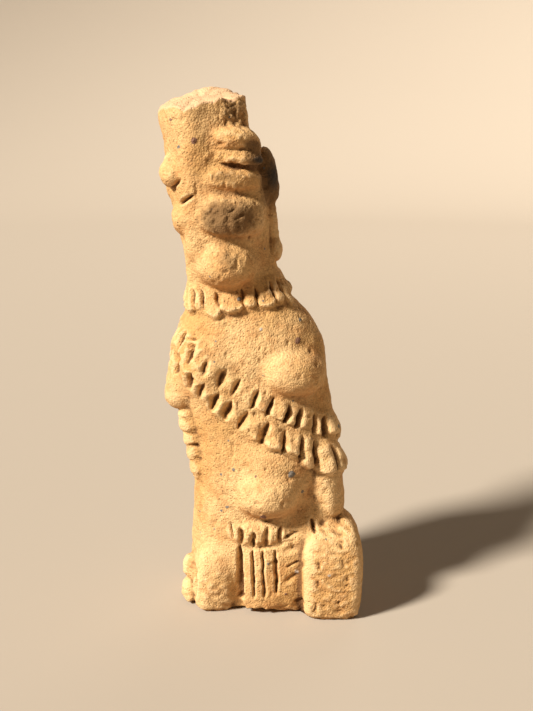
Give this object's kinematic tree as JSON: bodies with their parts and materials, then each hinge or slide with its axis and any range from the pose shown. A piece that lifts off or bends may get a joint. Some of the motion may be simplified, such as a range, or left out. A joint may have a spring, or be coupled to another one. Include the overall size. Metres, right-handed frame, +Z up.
{
  "type": "terracotta figure",
  "caption": "Hand-built terracotta figure, standing, with a notched sash and collar, a pleated apron, heavy lips and a tall cap broken off at the top.",
  "frame": {"origin": "on the flat underside, in the plane it stands on, below the middle of the body", "axes": "+Z up the figure, -Y the way the figure faces, +X towards the figure's left side"},
  "size_m": [0.0985, 0.0664, 0.2525],
  "materials": {
    "terracotta": "matt, sandy, unglazed fired clay with grey fire clouds"
  },
  "bodies": {
    "root": {"terracotta_figure": "terracotta"}
  },
  "joints": []
}
